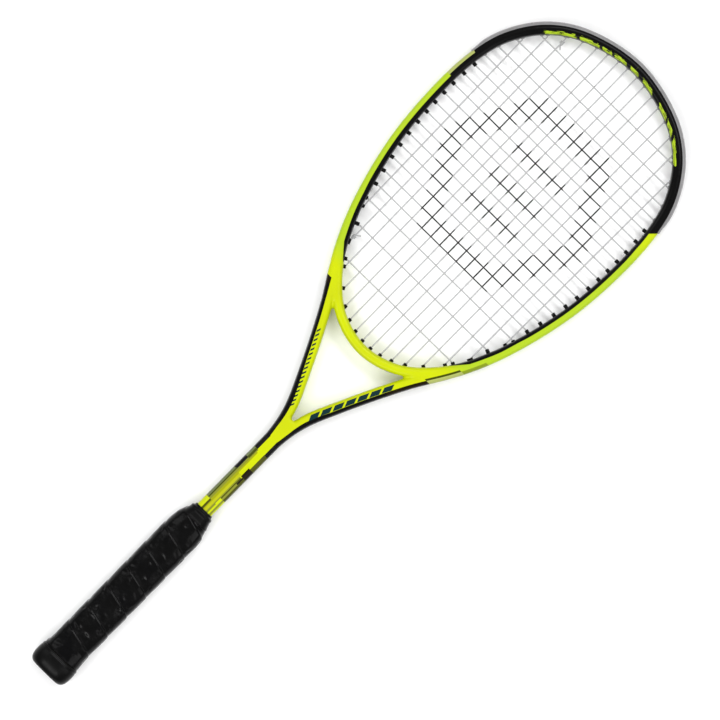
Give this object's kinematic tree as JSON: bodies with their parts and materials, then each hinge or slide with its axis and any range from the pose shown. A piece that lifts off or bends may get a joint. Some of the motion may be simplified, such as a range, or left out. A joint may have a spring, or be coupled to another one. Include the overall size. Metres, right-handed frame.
{
  "type": "squash racket",
  "caption": "Strung squash racket with an open throat: oval hollow frame, throat bridge, head bumper, side grommet strips, woven string bed and a wrapped grip with a flared butt cap.",
  "frame": {"origin": "middle of the flat end face of the butt cap", "axes": "+Y runs from the butt to the tip of the head, +X across the head, +Z out of the string bed; the string plane is z = 0"},
  "size_m": [0.215, 0.686, 0.0328],
  "materials": {
    "frame_lacquer": "clear gloss lacquer over bright yellow-green paint, black at the head",
    "bumper_plastic": "smoke-grey moulded nylon with a soft sheen",
    "grommet_plastic": "black moulded nylon",
    "string": "smooth off-white multifilament with a thin clear coat",
    "foam": "rigid moulded foam",
    "cap_rubber": "black soft moulded cap",
    "staple_steel": "plain wire",
    "grip_wrap": "black synthetic leather wrap with a slightly tacky sheen"
  },
  "bodies": {
    "root": {"frame": "frame_lacquer", "throat_bridge": "frame_lacquer", "bumper_guard": "bumper_plastic", "right_grommet_strip": "grommet_plastic", "left_grommet_strip": "grommet_plastic", "right_bridge_grommet_1": "grommet_plastic", "left_bridge_grommet_1": "grommet_plastic", "right_bridge_grommet_2": "grommet_plastic", "left_bridge_grommet_2": "grommet_plastic", "right_bridge_grommet_3": "grommet_plastic", "left_bridge_grommet_3": "grommet_plastic", "right_bridge_grommet_4": "grommet_plastic", "left_bridge_grommet_4": "grommet_plastic", "main_string": "string", "cross_string": "string", "handle_pallet": "foam", "butt_cap": "cap_rubber", "right_cap_staple": "staple_steel", "left_cap_staple": "staple_steel", "grip": "grip_wrap", "grip_collar": "cap_rubber"}
  },
  "joints": []
}
